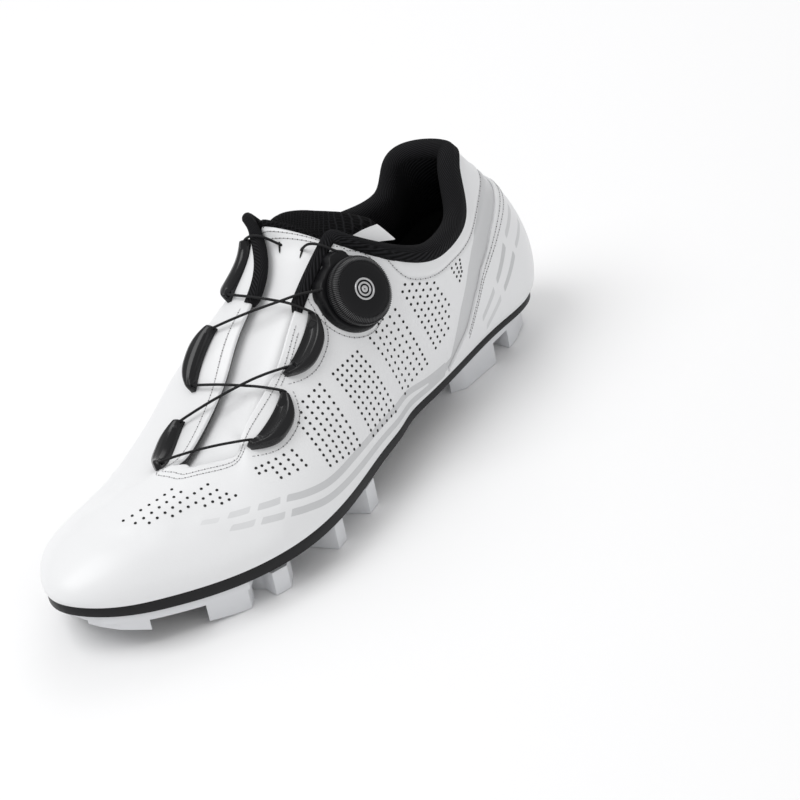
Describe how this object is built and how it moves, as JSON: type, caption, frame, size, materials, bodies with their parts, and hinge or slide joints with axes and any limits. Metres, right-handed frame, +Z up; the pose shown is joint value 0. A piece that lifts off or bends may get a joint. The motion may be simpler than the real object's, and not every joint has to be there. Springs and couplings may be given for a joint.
{
  "type": "cycling shoe",
  "caption": "Left cycling shoe with a hollow white upper, padded collar, tongue, lace dial with guides, stiff black sole plate with cleat bolts and a lugged white rubber tread.",
  "frame": {"origin": "on the floor, centred under the shoe's box", "axes": "+Z up, toe towards -Y, heel towards +Y, the outer side towards +X"},
  "size_m": [0.0964, 0.2794, 0.1008],
  "materials": {
    "upper_leather": "smooth satin white, coated microfibre",
    "counter_leather": "smooth satin pale grey, moulded",
    "collar_mesh": "black padded knit",
    "tongue_leather": "smooth satin white",
    "plate_nylon": "moulded black nylon",
    "tread_rubber": "matt white rubber",
    "insole_fabric": "black woven footbed",
    "bolt_steel": "blackened steel",
    "screw_steel": "plated steel",
    "dial_plastic": "moulded black plastic",
    "dial_cap_paint": "silver paint",
    "guide_plastic": "moulded black plastic",
    "lace_cord": "black lace with a steel core"
  },
  "bodies": {
    "root": {"upper": "upper_leather", "heel_counter": "counter_leather", "collar_lining": "collar_mesh", "binding_lateral": "collar_mesh", "binding_medial": "collar_mesh", "tongue": "tongue_leather", "insole": "insole_fabric", "sole_plate": "plate_nylon", "outsole": "tread_rubber", "dial_base": "dial_plastic", "dial_knob": "dial_plastic", "dial_cap": "dial_cap_paint", "cleat_bolt_1": "bolt_steel", "cleat_bolt_2": "bolt_steel", "cleat_bolt_3": "bolt_steel", "cleat_bolt_4": "bolt_steel", "toe_screw_1": "screw_steel", "toe_screw_2": "screw_steel", "guide_medial_1": "guide_plastic", "guide_medial_2": "guide_plastic", "guide_medial_3": "guide_plastic", "guide_lateral_1": "guide_plastic", "guide_lateral_2": "guide_plastic", "lace_top_lateral": "lace_cord", "lace_top_medial": "lace_cord", "lace_cross_upper": "lace_cord", "lace_cross_lower": "lace_cord", "lace_bar_toe": "lace_cord"}
  },
  "joints": []
}
